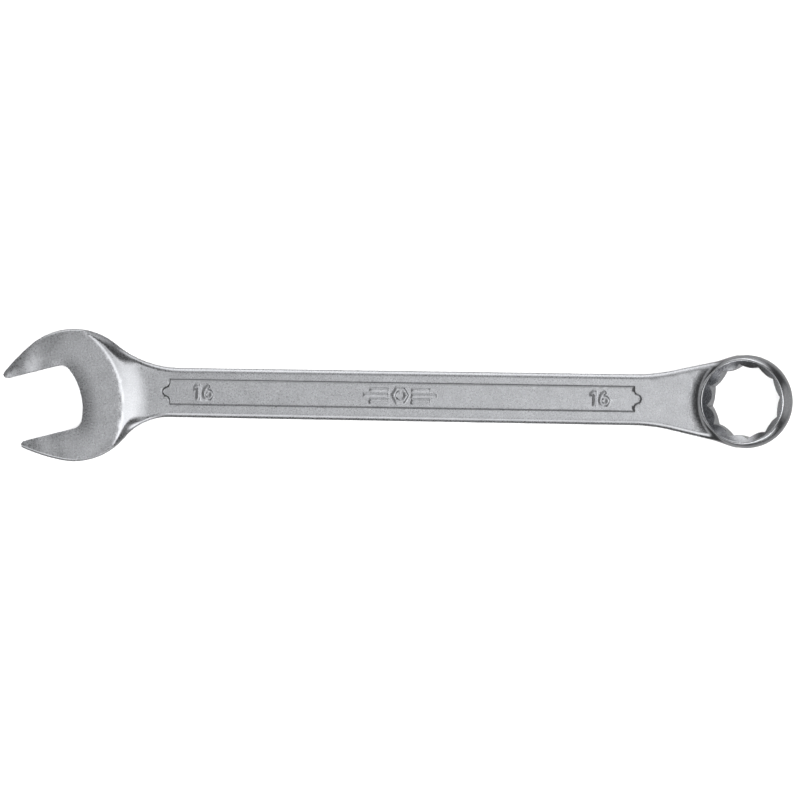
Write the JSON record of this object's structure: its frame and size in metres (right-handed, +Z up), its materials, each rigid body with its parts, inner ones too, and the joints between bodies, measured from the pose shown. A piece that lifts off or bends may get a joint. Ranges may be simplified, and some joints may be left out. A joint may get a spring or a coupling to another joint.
{
  "type": "combination wrench",
  "caption": "Chrome-plated combination wrench for 16 mm hexagons, with an angled open jaw at one end and a tilted twelve-point ring at the other.",
  "frame": {"origin": "on the bench that the tool lies on, under the middle of its bounding box", "axes": "+X along the shank from the open end to the ring end, +Y across the shank, +Z up through the marked face; the tool lies on its open end and on the ring's lower rim, so its shank leans by 0.34 degrees about Y"},
  "size_m": [0.1964, 0.033, 0.0142],
  "materials": {
    "chrome_plate": "satin"
  },
  "bodies": {
    "root": {"wrench_body": "chrome_plate"}
  },
  "joints": []
}
